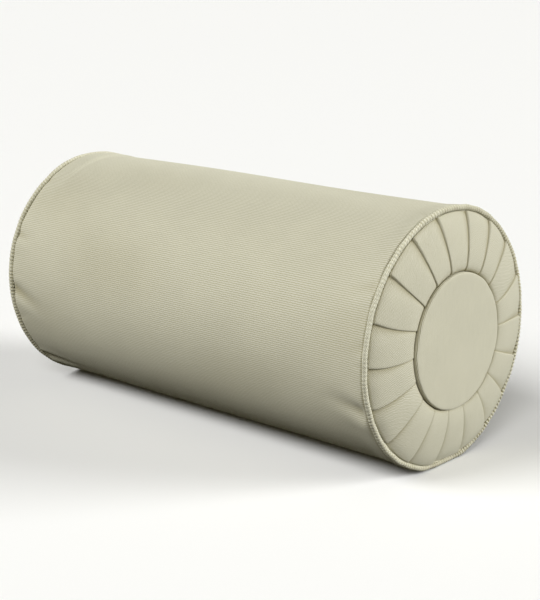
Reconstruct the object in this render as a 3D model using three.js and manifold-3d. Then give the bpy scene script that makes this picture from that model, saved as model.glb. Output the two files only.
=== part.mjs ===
// Bolster pillow with pleated ends, about 200 mm in diameter and 411 mm long, lying on its side.
//
// A woven sleeve with a zip along its back is closed at each end by a knife-pleated ring, and a
// covered disc is tied over the middle of the pleats. A piping runs round each end seam. Inside
// the zipped cover lies a separate filled insert.
//
// Millimetres, +X along the bolster towards the end where the zip closes, +Z up. The origin is on
// the floor, under the middle of the bolster.
import * as THREE from "three";
import { mergeVertices } from "three/addons/utils/BufferGeometryUtils.js";
import Module from "manifold-3d";

const wasm = await Module();
wasm.setup();

// Cover
const RIM_RADIUS = 100; // to the outside of the piping
const SEAM_LENGTH = 388; // between the middles of the two pipings
const FABRIC = 1;
const SLEEVE_DROP = 1.6; // how far the sleeve lies below the outside of the piping
const SHOULDER = 8; // length over which the sleeve rounds down into the end seam
const SEAM_ALLOWANCE = 9;
const CLEARANCE = 0.3; // kept between pieces that touch on the real bolster

// How the bolster settles on the floor: its lower side gives way and lies flat there
const RIM_SAG = 2.2;
const FIRM_SHARE = 0.6; // inside this share of the radius nothing sags

// Piping: a bias strip folded round a cord, its two edges caught in the end seam
const PIPING = 4.6;
const STRIP = 0.7; // thickness of the bias strip
const STRIP_SLIT = 0.3; // between the strip's two edges

// Pleated end
const PLEATS = 18;
const PLEAT_STEP = 1.8; // height of a fold's edge over the next pleat
const PLEAT_EDGE = 0.96; // share of a pleat's width where its fold ends
const END_BULGE = 8; // how far the stuffing pushes the pleats out past the seam
const PLEAT_THICKNESS = 2.6;
const PLEAT_TUCK = 8; // pleat ends hidden under the disc

// Covered disc in the middle of each end
const DISC_RADIUS = 51;
const DISC_FABRIC = 0.7;
const DISC_CROWN = 0.8;
const DISC_SINK = 3.4; // how deep the twine pulls the disc into the stuffing
const FORMER_THICKNESS = 2;
const PAD_THICKNESS = 1.6;
const DISC_TURNING = 12; // width of the fabric turned in behind the disc
const BACKING_INSET = 3; // how much smaller the backing's radius is
const BACKING_THICKNESS = 2;
const TWINE = 1.4;
const TWINE_HOLE = 2.6;
const TWINE_SPREAD = 9; // each hole's distance from the middle

// Insert
const CASING = 0.8;
const INSERT_ROOM = 3; // between the cover and the insert, for the zip's slider
const INSERT_BULGE = 8;

// Zip, along the back of the sleeve
const ZIP_ANGLE = 20; // degrees above the level of the axis
const ZIP_LENGTH = 300;
const ZIP_WINDOW = 10; // width of the opening between the sleeve's two folded edges
const TAPE = 0.5;
const TAPE_WIDTH = 13;
const TAPE_GAP = 2.4; // between the two tapes, where the slider's wedge passes
const COIL_WIDTH = 2.2;
const COIL_HEIGHT = 1.5;
const COIL_PARTING = 0.4; // between the two closed rows
const STOP_LENGTH = 2.5;
const SLIDER_LENGTH = 11;
const SLIDER_WIDTH = 8;
const SLIDER_PLATE = 0.9;
const SLIDER_FLANGE = 0.8;
const WEDGE_LENGTH = 2.5;
const WEDGE_WIDTH = 1.4;
const BRIDGE_LENGTH = 6;
const BRIDGE_WIDTH = 2;
const BRIDGE_WALL = 0.9;
const PULL_LENGTH = 26;
const PULL_WIDTH = 7;
const PULL_THICKNESS = 1.2;
const PULL_EYE = 6; // length of the eye that hooks through the bridge

// Fineness of the round pieces
const COVER_STEPS = 60;
const CASING_STEPS = 40;
const DISC_STEPS = 24;
const PLEAT_COLUMNS = 3;

const halfLength = SEAM_LENGTH / 2;
const axisHeight = RIM_RADIUS - RIM_SAG;
const sleeveRadius = RIM_RADIUS - SLEEVE_DROP;
const pipingRadius = RIM_RADIUS - PIPING / 2;
const pipingClear = PIPING / 2 + CLEARANCE;
const seamRadius = pipingRadius - pipingClear;
const flangeHalf = STRIP_SLIT / 2 + STRIP;
const allowanceRadius = seamRadius - SEAM_ALLOWANCE;

const cloth = (color) => new THREE.MeshStandardMaterial({ color, roughness: 0.95 });
const materials = {
  cover: cloth(0xcfccb2),
  piping: cloth(0xd2cfb4),
  cord: cloth(0xe9e4d6),
  casing: cloth(0xf0eee8),
  fill: cloth(0xf7f6f2),
  foam: cloth(0xe8e2cf),
  board: new THREE.MeshStandardMaterial({ color: 0xa98f68, roughness: 0.8 }),
  twine: cloth(0xd8d2bf),
  tape: cloth(0xc6c3a8),
  coil: new THREE.MeshStandardMaterial({ color: 0xc9c5ab, roughness: 0.45 }),
  metal: new THREE.MeshStandardMaterial({ color: 0xb9b7ae, roughness: 0.35, metalness: 1 }),
};

function node(name, geometry, material) {
  const mesh = new THREE.Mesh(geometry, material);
  mesh.name = name;
  return mesh;
}

// A closed outline of [x, radius] points turned about the X axis.
function turned(outline, steps) {
  const points = [...outline, outline[0]].map(([x, r]) => new THREE.Vector2(r, x));
  return new THREE.LatheGeometry(points, steps).rotateZ(-Math.PI / 2);
}

// A solid round piece: its outline starts and ends on the axis.
function turnedSolid(outline, steps = DISC_STEPS) {
  const points = outline.map(([x, r]) => new THREE.Vector2(r, x));
  return new THREE.LatheGeometry(points, steps).rotateZ(-Math.PI / 2);
}

// Moves each vertex of a geometry about the bolster's axis.
function reshape(geometry, move) {
  const p = geometry.attributes.position;
  const v = new THREE.Vector3();
  for (let i = 0; i < p.count; i++) {
    v.fromBufferAttribute(p, i);
    move(v);
    p.setXYZ(i, v.x, v.y, v.z);
  }
  return geometry;
}

// Lets a piece that is centred on the axis settle on the floor, sag in a flat under it.
function settled(geometry) {
  const firm = RIM_RADIUS * FIRM_SHARE;
  return reshape(geometry, (v) => {
    const radius = Math.hypot(v.y, v.z);
    const soft = THREE.MathUtils.clamp((radius - firm) / (RIM_RADIUS - firm), 0, 1);
    const nearSeam = THREE.MathUtils.smoothstep(
      Math.abs(v.x), halfLength - SHOULDER, halfLength - SHOULDER / 2,
    );
    const middleSag = ((sleeveRadius - axisHeight) * (RIM_RADIUS - firm)) / (sleeveRadius - firm);
    const sag = soft * THREE.MathUtils.lerp(middleSag, RIM_SAG, nearSeam);
    v.z = Math.max(v.z, sag - radius);
  });
}

// Solids for cutting and joining
function solidOf(geometry) {
  const bare = geometry.clone();
  bare.deleteAttribute("normal");
  bare.deleteAttribute("uv");
  const merged = mergeVertices(bare, 1e-4);
  return new wasm.Manifold(
    new wasm.Mesh({
      numProp: 3,
      vertProperties: merged.attributes.position.array,
      triVerts: new Uint32Array(merged.index.array),
    }),
  );
}

function geometryOf(solid) {
  const { vertProperties, triVerts } = solid.getMesh();
  const geometry = new THREE.BufferGeometry();
  geometry.setAttribute("position", new THREE.BufferAttribute(vertProperties, 3));
  geometry.setIndex(new THREE.BufferAttribute(triVerts, 1));
  geometry.computeVertexNormals();
  return geometry;
}

const cut = (geometry, ...tools) =>
  geometryOf(tools.reduce((left, tool) => left.subtract(solidOf(tool)), solidOf(geometry)));
const join = (first, ...more) =>
  geometryOf(more.reduce((whole, piece) => whole.add(solidOf(piece)), solidOf(first)));

// A block from its lowest to its highest corner.
function block([x0, y0, z0], [x1, y1, z1]) {
  return new THREE.BoxGeometry(x1 - x0, y1 - y0, z1 - z0).translate(
    (x0 + x1) / 2, (y0 + y1) / 2, (z0 + z1) / 2,
  );
}

// A section in the YZ plane, made solid along X.
function extrudedAlongX(shape, x0, x1, curveSegments = 6) {
  const options = { depth: x1 - x0, bevelEnabled: false, curveSegments };
  const axes = new THREE.Matrix4().makeBasis(
    new THREE.Vector3(0, 1, 0), new THREE.Vector3(0, 0, 1), new THREE.Vector3(1, 0, 0),
  );
  return new THREE.ExtrudeGeometry(shape, options).applyMatrix4(axes).translate(x0, 0, 0);
}

// The sleeve: a tube that rounds down into each end seam and turns inwards there. It is open
// along its back, where the zip shows.
function sleeve() {
  const hemX = halfLength - flangeHalf - CLEARANCE;
  const shoulderEnd = halfLength - pipingClear;
  const shoulderSteps = 3;
  const end = (inset) => {
    const reach = SHOULDER - pipingClear;
    const drop = sleeveRadius - seamRadius;
    return Array.from({ length: shoulderSteps + 1 }, (_, i) => {
      const t = (i / shoulderSteps) * (Math.PI / 2);
      const x = shoulderEnd - reach + reach * Math.sin(t);
      const r = seamRadius + drop * Math.cos(t);
      return [x - inset * Math.sin(t), r - inset * Math.cos(t)];
    });
  };
  const outside = [...end(0), [hemX, seamRadius], [hemX, allowanceRadius]];
  const inside = [
    [hemX - FABRIC, allowanceRadius],
    [hemX - FABRIC, seamRadius - FABRIC],
    ...end(FABRIC).reverse().slice(1),
  ];
  const half = [...outside, ...inside];
  const outline = [
    ...outside.map(([x, r]) => [-x, r]).reverse(),
    ...half,
    ...inside.map(([x, r]) => [-x, r]).reverse(),
  ];
  const window = block(
    [-ZIP_LENGTH / 2 - STOP_LENGTH - 2, sleeveRadius / 2, -ZIP_WINDOW / 2],
    [ZIP_LENGTH / 2 + STOP_LENGTH + 2, 2 * sleeveRadius, ZIP_WINDOW / 2],
  ).rotateX(THREE.MathUtils.degToRad(ZIP_ANGLE));
  return cut(settled(turned(outline, COVER_STEPS)), window);
}

// The piping's strip: round the cord, then two edges side by side into the seam.
function pipingStrip() {
  const outer = PIPING / 2;
  const inner = outer - STRIP;
  const arc = (radius, halfWidth, steps) => {
    const from = Math.asin(halfWidth / radius);
    return Array.from({ length: steps + 1 }, (_, i) => {
      const a = from + ((2 * Math.PI - 2 * from) * i) / steps;
      return [halfLength - radius * Math.sin(a), pipingRadius - radius * Math.cos(a)];
    });
  };
  const slit = STRIP_SLIT / 2;
  const outline = [
    [halfLength - flangeHalf, allowanceRadius],
    ...arc(outer, flangeHalf, 8),
    [halfLength + flangeHalf, allowanceRadius],
    [halfLength + slit, allowanceRadius],
    ...arc(inner, slit, 6).reverse(),
    [halfLength - slit, allowanceRadius],
  ];
  return settled(turned(outline, COVER_STEPS));
}

function pipingCord() {
  const radius = PIPING / 2 - STRIP - CLEARANCE;
  const sides = 5;
  const outline = Array.from({ length: sides }, (_, i) => {
    const a = (2 * Math.PI * i) / sides;
    return [halfLength - radius * Math.sin(a), pipingRadius - radius * Math.cos(a)];
  });
  return settled(turned(outline, COVER_STEPS));
}

// The pleated ring. It bulges between the end seam and the disc, under which it is pinched. Each
// pleat starts low, tucked under the fold before it, and rises to its own folded edge.
const pleatSeat = halfLength + END_BULGE - DISC_SINK;

function pleatedEnd() {
  const seamX = halfLength + flangeHalf + CLEARANCE;
  const columns = PLEATS * PLEAT_COLUMNS;
  const discWall = DISC_RADIUS + 2 * CLEARANCE;
  const bulge = [0, 0.4, 0.7, 0.9].map((s) => [
    halfLength + END_BULGE * Math.sqrt(1 - s * s),
    THREE.MathUtils.lerp(discWall + DISC_SINK / 2, seamRadius, s),
  ]);
  const face = [
    [pleatSeat, DISC_RADIUS - PLEAT_TUCK],
    [pleatSeat, discWall],
    ...bulge,
    [seamX + FABRIC + PLEAT_STEP, seamRadius],
  ];
  const back = [...face].reverse().map(([x, r]) => [Math.max(x - PLEAT_THICKNESS, seamX), r]);
  const ring = turned([...face, ...back].reverse(), columns);
  const pleatAngle = (2 * Math.PI) / PLEATS;
  reshape(ring, (v) => {
    const radius = Math.hypot(v.y, v.z);
    const turn = Math.atan2(v.z, v.y) + 2 * Math.PI;
    const column = Math.round((turn / pleatAngle) * PLEAT_COLUMNS);
    const across = ((column % PLEAT_COLUMNS) * PLEAT_EDGE) / (PLEAT_COLUMNS - 1);
    const angle = (Math.floor(column / PLEAT_COLUMNS) + across) * pleatAngle;
    const onFace = face.some(([x, r]) => Math.abs(r - radius) < 1e-3 && Math.abs(x - v.x) < 1e-3);
    if (onFace) v.x += PLEAT_STEP * (across - 1);
    v.y = radius * Math.cos(angle);
    v.z = radius * Math.sin(angle);
  });
  return settled(ring);
}

// The covered disc, from the pleats outwards: fabric turned in behind, former, pad, fabric.
const discBack = pleatSeat + CLEARANCE;
const formerBack = discBack + DISC_FABRIC + CLEARANCE;
const formerFront = formerBack + FORMER_THICKNESS;
const padBack = formerFront + CLEARANCE;
const padFront = padBack + PAD_THICKNESS;
const coverFront = padFront + CLEARANCE + DISC_FABRIC;
const formerRadius = DISC_RADIUS - DISC_FABRIC - CLEARANCE;

// Height of a shallow crown over a disc, at a radius.
const crown = (radius) => DISC_CROWN * (1 - (radius / DISC_RADIUS) ** 2);

function discCover() {
  const soft = 1.2; // rounding of the edge
  const face = [0, 0.4, 0.75].map((s) => {
    const r = s * DISC_RADIUS;
    return [coverFront + crown(r), r];
  });
  const back = formerRadius - DISC_TURNING;
  const inside = DISC_RADIUS - DISC_FABRIC;
  return turnedSolid([
    ...face,
    [coverFront, DISC_RADIUS - soft],
    [coverFront - soft, DISC_RADIUS],
    [discBack, DISC_RADIUS],
    [discBack, back],
    [discBack + DISC_FABRIC, back],
    [discBack + DISC_FABRIC, inside],
    [coverFront - soft, inside],
    [coverFront - DISC_FABRIC, inside - soft],
    ...face.map(([x, r]) => [x - DISC_FABRIC, r]).reverse(),
  ].reverse());
}

function discPad() {
  const twineRoom = TWINE + 2 * CLEARANCE;
  const pad = turnedSolid([
    [padBack, 0],
    [padBack, formerRadius],
    [padFront - 0.5, formerRadius],
    [padFront - 0.2 + crown(0.6 * DISC_RADIUS), 0.6 * DISC_RADIUS],
    [padFront + crown(0), 0],
  ]);
  const slot = block(
    [padBack - 1, -TWINE_SPREAD - twineRoom, -twineRoom / 2],
    [padBack + twineRoom, TWINE_SPREAD + twineRoom, twineRoom / 2],
  );
  return cut(pad, slot);
}

// A flat disc with the two holes that the twine passes through.
function tiedDisc(back, front, radius) {
  const disc = turnedSolid([[back, 0], [back, radius], [front, radius], [front, 0]]);
  const holes = [-1, 1].map((side) =>
    new THREE.CylinderGeometry(TWINE_HOLE / 2, TWINE_HOLE / 2, 4 * (front - back), 10)
      .rotateZ(Math.PI / 2)
      .translate((back + front) / 2, side * TWINE_SPREAD, 0));
  return cut(disc, ...holes);
}

const backingFront = pleatSeat - PLEAT_THICKNESS - CLEARANCE;
const backingBack = backingFront - BACKING_THICKNESS;
const backingRadius = DISC_RADIUS - BACKING_INSET;

// Twine that holds disc and backing together, in at one hole, out at the other and knotted.
function discTwine() {
  const off = TWINE / 2 + CLEARANCE;
  const [front, back] = [formerFront + off, backingBack - off];
  const turn = TWINE_SPREAD - 0.8; // the corners are cut a little
  const points = [
    [back, -1], [back, -turn], [back + 1, -TWINE_SPREAD], [front - 1, -TWINE_SPREAD],
    [front, -turn], [front, -turn / 2], [front, turn / 2], [front, turn],
    [front - 1, TWINE_SPREAD], [back + 1, TWINE_SPREAD],
    [back, turn], [back, 1],
  ].map(([x, y]) => new THREE.Vector3(x, y, 0));
  const route = new THREE.CatmullRomCurve3(points, false, "centripetal");
  const section = new THREE.Shape().absarc(0, 0, TWINE / 2, 0, 2 * Math.PI);
  const twine = new THREE.ExtrudeGeometry(section, {
    steps: 24, extrudePath: route, curveSegments: 3,
  });
  const knot = new THREE.SphereGeometry(TWINE * 1.1, 8, 6).translate(back - TWINE / 2, 0, 0);
  return join(twine, knot);
}

// The insert: a tube and two domed ends sewn round the filling.
const insertRadius = sleeveRadius - FABRIC - INSERT_ROOM;
const knotBack = backingBack - CLEARANCE - TWINE / 2 - TWINE * 1.6;
const insertTip = knotBack - CLEARANCE;
const insertShoulder = insertTip - INSERT_BULGE;

function casingTube() {
  const end = insertShoulder - CASING - CLEARANCE;
  return turned([
    [-end, insertRadius], [end, insertRadius],
    [end, insertRadius - CASING], [-end, insertRadius - CASING],
  ], CASING_STEPS);
}

// Dome of the insert's end, from the axis out to its seam.
function dome(inset) {
  return [0, 0.45, 0.8, 1].map((s) => [
    insertShoulder + INSERT_BULGE * Math.sqrt(1 - s * s) - inset, s * (insertRadius - inset),
  ]);
}

const casingEnd = () =>
  turnedSolid([
    ...dome(0), [insertShoulder - CASING, insertRadius - CASING], ...dome(CASING).reverse().slice(1),
  ].reverse(), CASING_STEPS);

function filling() {
  const inset = CASING + CLEARANCE;
  const end = dome(inset);
  return turnedSolid([...end, ...end.map(([x, r]) => [-x, r]).reverse()].reverse(), CASING_STEPS);
}

// Zip pieces are drawn with +Y out of the bolster and +Z across the zip.
const tapeOuter = sleeveRadius - FABRIC - CLEARANCE;
const tapeInner = tapeOuter - TAPE;
const coilBase = tapeOuter + CLEARANCE;
const coilTop = coilBase + COIL_HEIGHT;
const zipEnd = ZIP_LENGTH / 2;
const sliderFront = zipEnd - CLEARANCE;
const sliderBack = sliderFront - SLIDER_LENGTH;
const wedgeBack = sliderFront - WEDGE_LENGTH;
const plateInside = coilTop + CLEARANCE;
const plateTop = plateInside + SLIDER_PLATE;
const pullAxis = plateTop + CLEARANCE + PULL_THICKNESS / 2;
const bridgeMiddle = (sliderFront + sliderBack) / 2;

function zipTape(side) {
  const reach = zipEnd + STOP_LENGTH + 4 * CLEARANCE;
  const from = TAPE_GAP / 2 / tapeInner;
  const to = (TAPE_GAP / 2 + TAPE_WIDTH) / tapeInner;
  const shape = new THREE.Shape();
  shape.absarc(0, 0, tapeOuter, from, to, false);
  shape.absarc(0, 0, tapeInner, to, from, true);
  const tape = extrudedAlongX(shape, -reach, reach, 4);
  return side > 0 ? tape : tape.rotateX(-from - to);
}

function zipCoil(side) {
  const near = (side * COIL_PARTING) / 2;
  const far = near + side * COIL_WIDTH;
  const low = Math.min(near, far);
  return block(
    [-zipEnd + CLEARANCE, coilBase, low], [wedgeBack - CLEARANCE, coilTop, low + COIL_WIDTH],
  );
}

function topStop(side) {
  const far = side * (COIL_PARTING / 2 + COIL_WIDTH);
  const low = Math.min(far, far - side * (COIL_WIDTH - TAPE_GAP / 4));
  return block(
    [zipEnd + CLEARANCE, coilBase, low],
    [zipEnd + STOP_LENGTH, coilTop, low + COIL_WIDTH - TAPE_GAP / 4],
  );
}

function bottomStop() {
  const half = COIL_PARTING / 2 + COIL_WIDTH;
  return block([-zipEnd - STOP_LENGTH, coilBase, -half], [-zipEnd, coilTop, half]);
}

function zipSlider() {
  const half = SLIDER_WIDTH / 2;
  const bottom = tapeInner - CLEARANCE;
  const overlap = 0.1; // joined blocks share this much
  const plate = block([sliderBack, plateInside, -half], [sliderFront, plateTop, half]);
  const base = block([sliderBack, bottom - SLIDER_PLATE, -half], [sliderFront, bottom, half]);
  const wedge = block(
    [wedgeBack, bottom - overlap, -WEDGE_WIDTH / 2],
    [sliderFront, plateInside + overlap, WEDGE_WIDTH / 2],
  );
  const flanges = [-1, 1].map((side) => {
    const low = Math.min(side * half, side * (half - SLIDER_FLANGE));
    return block(
      [sliderBack, tapeOuter + CLEARANCE, low],
      [sliderFront, plateInside + overlap, low + SLIDER_FLANGE],
    );
  });
  const tunnel = PULL_THICKNESS + 2 * CLEARANCE;
  const bridge = block(
    [bridgeMiddle - BRIDGE_LENGTH / 2, plateTop - overlap, -BRIDGE_WIDTH / 2],
    [bridgeMiddle + BRIDGE_LENGTH / 2, plateTop + tunnel + BRIDGE_WALL, BRIDGE_WIDTH / 2],
  );
  const through = block(
    [bridgeMiddle - BRIDGE_LENGTH / 2 + BRIDGE_WALL, plateTop, -BRIDGE_WIDTH],
    [bridgeMiddle + BRIDGE_LENGTH / 2 - BRIDGE_WALL, plateTop + tunnel, BRIDGE_WIDTH],
  );
  return cut(join(plate, base, wedge, ...flanges, bridge), through);
}

// The pull: a tab whose eye goes round the bridge. Its crossbar is the hinge.
function zipPull() {
  const barReach = PULL_THICKNESS / 2;
  const half = PULL_WIDTH / 2;
  const eyeHalf = BRIDGE_WIDTH / 2 + 2 * CLEARANCE;
  const shape = new THREE.Shape();
  const end = PULL_LENGTH - half;
  shape.moveTo(barReach, -half);
  shape.lineTo(barReach, half);
  shape.lineTo(-end, half);
  shape.absarc(-end, 0, half, Math.PI / 2, (3 * Math.PI) / 2, false);
  const eye = new THREE.Path();
  eye.moveTo(-barReach, -eyeHalf);
  eye.lineTo(-PULL_EYE, -eyeHalf);
  eye.lineTo(-PULL_EYE, eyeHalf);
  eye.lineTo(-barReach, eyeHalf);
  shape.holes.push(eye);
  return new THREE.ExtrudeGeometry(shape, {
    depth: PULL_THICKNESS, bevelEnabled: false, curveSegments: 8,
  })
    .translate(0, 0, -PULL_THICKNESS / 2)
    .rotateX(-Math.PI / 2);
}

// Assembly
const bolster = new THREE.Group();
const onAxis = new THREE.Group();
onAxis.position.z = axisHeight;
bolster.add(onAxis);

onAxis.add(
  node("cover_sleeve", sleeve(), materials.cover),
  node("insert_casing_tube", casingTube(), materials.casing),
  node("insert_filling", filling(), materials.fill),
);

for (const [side, turn] of [["right", 0], ["left", Math.PI]]) {
  const end = new THREE.Group();
  end.rotation.z = turn;
  end.add(
    node(`pleated_end_${side}`, pleatedEnd(), materials.cover),
    node(`piping_strip_${side}`, pipingStrip(), materials.piping),
    node(`piping_cord_${side}`, pipingCord(), materials.cord),
    node(`disc_cover_${side}`, discCover(), materials.cover),
    node(`disc_pad_${side}`, discPad(), materials.foam),
    node(`disc_former_${side}`, tiedDisc(formerBack, formerFront, formerRadius), materials.board),
    node(`disc_backing_${side}`, tiedDisc(backingBack, backingFront, backingRadius), materials.board),
    node(`disc_twine_${side}`, discTwine(), materials.twine),
    node(`insert_casing_end_${side}`, casingEnd(), materials.casing),
  );
  onAxis.add(end);
}

const zip = new THREE.Group();
zip.rotation.x = THREE.MathUtils.degToRad(ZIP_ANGLE);
onAxis.add(zip);
for (const [row, side] of [["upper", 1], ["lower", -1]]) {
  zip.add(
    node(`zip_tape_${row}`, zipTape(side), materials.tape),
    node(`zip_coil_${row}`, zipCoil(side), materials.coil),
    node(`zip_top_stop_${row}`, topStop(side), materials.metal),
  );
}
const pull = node("zip_pull", zipPull(), materials.metal);
pull.position.set(bridgeMiddle, pullAxis, 0);
zip.add(
  node("zip_bottom_stop", bottomStop(), materials.metal),
  node("zip_slider", zipSlider(), materials.metal),
  pull,
);

export default bolster;
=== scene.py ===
import math

import bpy
import numpy as np
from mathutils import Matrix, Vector


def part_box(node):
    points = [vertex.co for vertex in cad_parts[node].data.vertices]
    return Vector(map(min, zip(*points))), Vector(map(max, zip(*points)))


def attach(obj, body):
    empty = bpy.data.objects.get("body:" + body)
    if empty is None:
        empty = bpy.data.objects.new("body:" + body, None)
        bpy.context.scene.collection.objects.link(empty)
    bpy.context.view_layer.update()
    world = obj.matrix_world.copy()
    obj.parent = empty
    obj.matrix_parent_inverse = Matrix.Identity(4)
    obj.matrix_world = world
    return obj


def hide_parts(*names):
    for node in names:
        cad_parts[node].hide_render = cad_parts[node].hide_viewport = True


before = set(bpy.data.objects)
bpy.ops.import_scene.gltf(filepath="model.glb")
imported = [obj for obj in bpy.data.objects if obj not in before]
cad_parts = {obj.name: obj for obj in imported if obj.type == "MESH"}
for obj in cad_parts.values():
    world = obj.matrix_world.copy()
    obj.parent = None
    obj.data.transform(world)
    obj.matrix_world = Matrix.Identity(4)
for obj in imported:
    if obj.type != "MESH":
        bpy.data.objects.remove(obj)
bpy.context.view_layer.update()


# ---------------------------------------------------------------- camera
# A three-quarter view from the front and a little above, which shows the right end. It looks at
# the bolster's axis, and the round of the piping says how high that lies.
MM = 0.001
SENSOR_WIDTH = 36  # the camera's own, in mm
rim_low, rim_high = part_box("piping_strip_right")
rim_radius = rim_high[1]
axis_height = rim_high[2] - rim_radius


def look_from(azimuth, elevation, distance, target, focal_share):
    """Adds the camera. focal_share is the focal length as a share of the sensor's width."""
    az = math.radians(azimuth)
    el = math.radians(elevation)
    toward = Vector((math.sin(az) * math.cos(el), -math.cos(az) * math.cos(el), math.sin(el)))
    camera_data = bpy.data.cameras.new("camera")
    camera_data.sensor_width = SENSOR_WIDTH
    camera_data.lens = SENSOR_WIDTH * focal_share
    camera = bpy.data.objects.new("camera", camera_data)
    camera.location = Vector(target) + distance * toward
    camera.rotation_euler = (-toward).to_track_quat("-Z", "Y").to_euler()
    bpy.context.scene.collection.objects.link(camera)
    bpy.context.scene.camera = camera


look_from(azimuth=42.06, elevation=14.37, distance=1.16664,
          target=(18.75 * MM, 0, axis_height - 0.44 * MM), focal_share=2.37912)


# ---------------------------------------------------------------- floor and light
# A pale matt floor and four broad studio lights: a key from high on the left, one from the front,
# one from low behind the right end, and a weak warm one from near the floor.
FLOOR_SIZE = 14


def deselect():
    bpy.ops.object.select_all(action="DESELECT")


def srgb(code):
    """A colour written as sRGB hex, in the linear values that a shader takes."""
    parts = [int(code[i:i + 2], 16) / 255 for i in (1, 3, 5)]
    linear = [c / 12.92 if c <= 0.04045 else ((c + 0.055) / 1.055) ** 2.4 for c in parts]
    return (*linear, 1)


def new_material(name):
    material = bpy.data.materials.new(name)
    material.use_nodes = True
    return material, material.node_tree.nodes["Principled BSDF"]


def add(material, kind, settings=None, **inputs):
    """Adds a node and returns its outputs. Inputs are values or other nodes' outputs, each given by
    its socket's name, or as i and its socket's number."""
    tree = material.node_tree
    made = tree.nodes.new("ShaderNode" + kind)
    for key, value in (settings or {}).items():
        setattr(made, key, value)
    for key, value in inputs.items():
        numbered = key[0] == "i" and key[1:].isdigit()
        socket = made.inputs[int(key[1:]) if numbered else key.replace("_", " ")]
        if isinstance(value, bpy.types.NodeSocket):
            tree.links.new(value, socket)
        else:
            socket.default_value = value
    return made.outputs


def link(material, output, socket):
    material.node_tree.links.new(output, socket)


deselect()
bpy.ops.mesh.primitive_plane_add(size=FLOOR_SIZE)
floor = bpy.context.object
floor.name = "floor"
floor_paint, floor_shader = new_material("matt_white_paint")
floor_shader.inputs["Base Color"].default_value = srgb("#f4f4f2")
floor_shader.inputs["Roughness"].default_value = 0.95
floor_shader.inputs["Specular IOR Level"].default_value = 0.1
floor.data.materials.append(floor_paint)
floor.visible_diffuse = False  # no bounce, so the underside stays as dark as over a deep studio


def softbox(name, direction, spread, strength, colour="#ffffff"):
    """A large distant light that shines from a direction. spread, in degrees, softens its shadows."""
    light_data = bpy.data.lights.new(name, "SUN")
    light_data.color = srgb(colour)[:3]
    light_data.angle = math.radians(spread)
    light_data.energy = strength
    light = bpy.data.objects.new(name, light_data)
    light.rotation_euler = (-Vector(direction)).to_track_quat("-Z", "Y").to_euler()
    bpy.context.scene.collection.objects.link(light)


softbox("key", direction=(-0.35, -0.67, 0.64), spread=30, strength=2.3)
softbox("front", direction=(0.35, -0.68, 0.6), spread=25, strength=1.17)
softbox("side", direction=(0.76, 0.58, 0.29), spread=30, strength=3.6)
softbox("low_front", direction=(0.4, -0.9, 0.15), spread=40, strength=0.26, colour="#fff6d8")

# What little light the rest of the room gives back is warm.
world = bpy.data.worlds.new("room")
world.use_nodes = True
world.node_tree.nodes["Background"].inputs["Color"].default_value = srgb("#e8dca0")
world.node_tree.nodes["Background"].inputs["Strength"].default_value = 0.02
bpy.context.scene.world = world
bpy.context.scene.view_settings.view_transform = "Standard"


# ---------------------------------------------------------------- sleeve
# The body of the cover is one rectangle of slubby cotton, wrapped round and joined to itself by
# the zip at the back. Its two long edges are turned under there, and its round edges are sewn into
# the end seams, where the easing of the cloth leaves small puckers.
sleeve_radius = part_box("cover_sleeve")[1][2] - axis_height
seam_x = (rim_low[0] + rim_high[0]) / 2
ZIP_ANGLE = math.radians(20)  # up from the level of the axis, at the back
WINDOW = 10 * MM  # between the two folded edges, over the zip
WINDOW_END = 154.5 * MM  # from the middle of the sleeve
WINDOW_CLOSES = 4 * MM  # beyond each end of the window, where the folds come together
CLOSED_GAP = 0.08 * MM
# The turned-under edge, in mm: how far in from the fold and how deep under the face.
FOLDED_EDGE = ((9, 0.75), (4, 0.75), (0.4, 0.75), (0.11, 0.64), (0, 0.375), (0.11, 0.11))
CLOTH = 0.6 * MM
SEAM_ALLOWANCE = 8 * MM
SLEEVE_COLUMNS = 300
UV_PER_METRE = 10  # one unit of UV is 100 mm of cut cloth
FLOOR_BLEND = 1.5 * MM  # how softly the flat underside runs out into the round


def cloth_grid(name, columns, rows):
    """A flat panel of cloth, columns by rows vertices, ready to be laid in place."""
    deselect()
    bpy.ops.mesh.primitive_grid_add(x_subdivisions=columns - 1, y_subdivisions=rows - 1, size=1)
    panel = bpy.context.object
    panel.name = name
    return panel


def grid_index(panel, columns, rows):
    """Column and row of each vertex of a cloth_grid."""
    flat = np.empty(columns * rows * 3)
    panel.data.vertices.foreach_get("co", flat)
    flat = flat.reshape(-1, 3)
    column = np.rint((flat[:, 0] + 0.5) * (columns - 1)).astype(int)
    row = np.rint((flat[:, 1] + 0.5) * (rows - 1)).astype(int)
    return column, row


def lay(panel, column, row, points, cut, painted_shade):
    """Gives each vertex its place, its UV on the cut cloth, and its painted shade, from 0 to 1, which
    is darker the deeper it lies in a crease."""
    panel.data.vertices.foreach_set("co", points[column, row].astype(np.float32).ravel())
    depth = np.broadcast_to(painted_shade, points.shape[:2])[column, row]
    attribute = panel.data.attributes.new("painted_shade", "FLOAT", "POINT")
    attribute.data.foreach_set("value", depth.astype(np.float32))
    loops = np.empty(len(panel.data.loops), dtype=int)
    panel.data.loops.foreach_get("vertex_index", loops)
    uv = (cut[column, row] * UV_PER_METRE).astype(np.float32)
    panel.data.uv_layers[0].data.foreach_set("uv", uv[loops].ravel())
    panel.data.update()


def in_edit_mode(piece, *steps):
    """Selects all of a piece in edit mode and runs the steps there."""
    deselect()
    piece.select_set(True)
    bpy.context.view_layer.objects.active = piece
    bpy.ops.object.mode_set(mode="EDIT")
    bpy.ops.mesh.select_all(action="SELECT")
    for step in steps:
        step()
    bpy.ops.object.mode_set(mode="OBJECT")


def weld():
    """A step for in_edit_mode: joins the panel's ends where they meet."""
    bpy.ops.mesh.remove_doubles(threshold=1e-6)


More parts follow.
